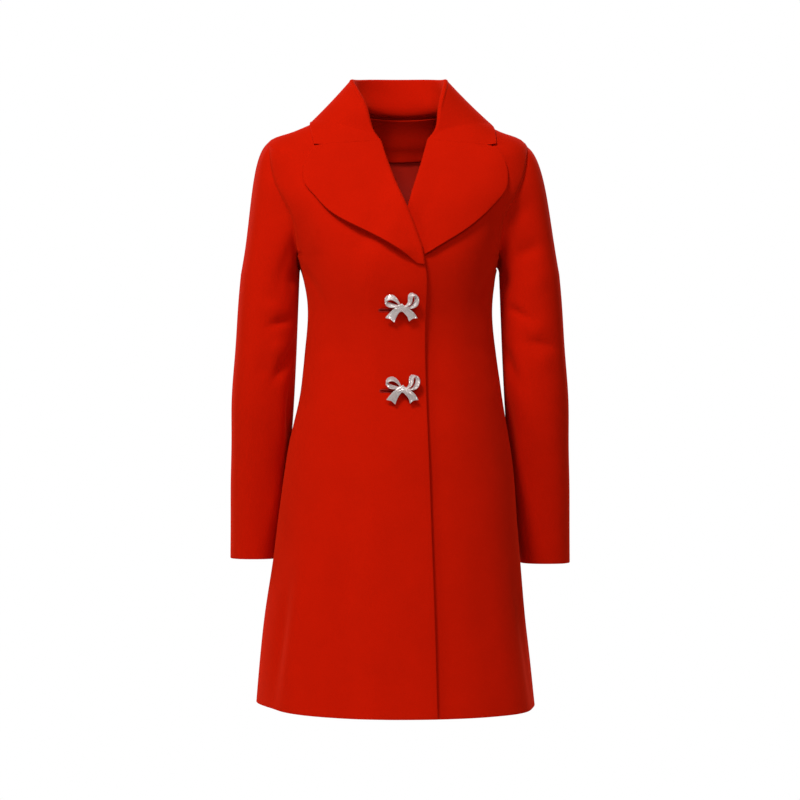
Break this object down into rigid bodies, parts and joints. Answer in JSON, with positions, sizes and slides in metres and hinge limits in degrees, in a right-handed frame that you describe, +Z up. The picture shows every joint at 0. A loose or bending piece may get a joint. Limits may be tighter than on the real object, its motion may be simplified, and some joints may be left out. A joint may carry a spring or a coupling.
{
  "type": "a-line wool coat",
  "caption": "Single-breasted A-line wool coat ending above the knee, wide collar and lapels, long sleeves, hollow as worn, closed by bow-shaped jewelled buttons",
  "frame": {"origin": "middle of the neck, level with the shoulder seams' neck ends, where the wearer holds the coat up", "axes": "+Z up, -Y front, +X the wearer's left"},
  "size_m": [0.5168, 0.3336, 0.9491],
  "materials": {
    "wool": "matt red wool melton with a short nap",
    "pave": "silver-coloured metal set all over with small clear crystals"
  },
  "bodies": {
    "root": {"front_right": "wool", "front_left": "wool", "back": "wool", "sleeve_right": "wool", "sleeve_left": "wool", "lapel_right": "wool", "lapel_left": "wool", "collar": "wool", "back_neck_facing": "wool", "bow_button_upper": "pave", "bow_button_lower": "pave"}
  },
  "joints": []
}
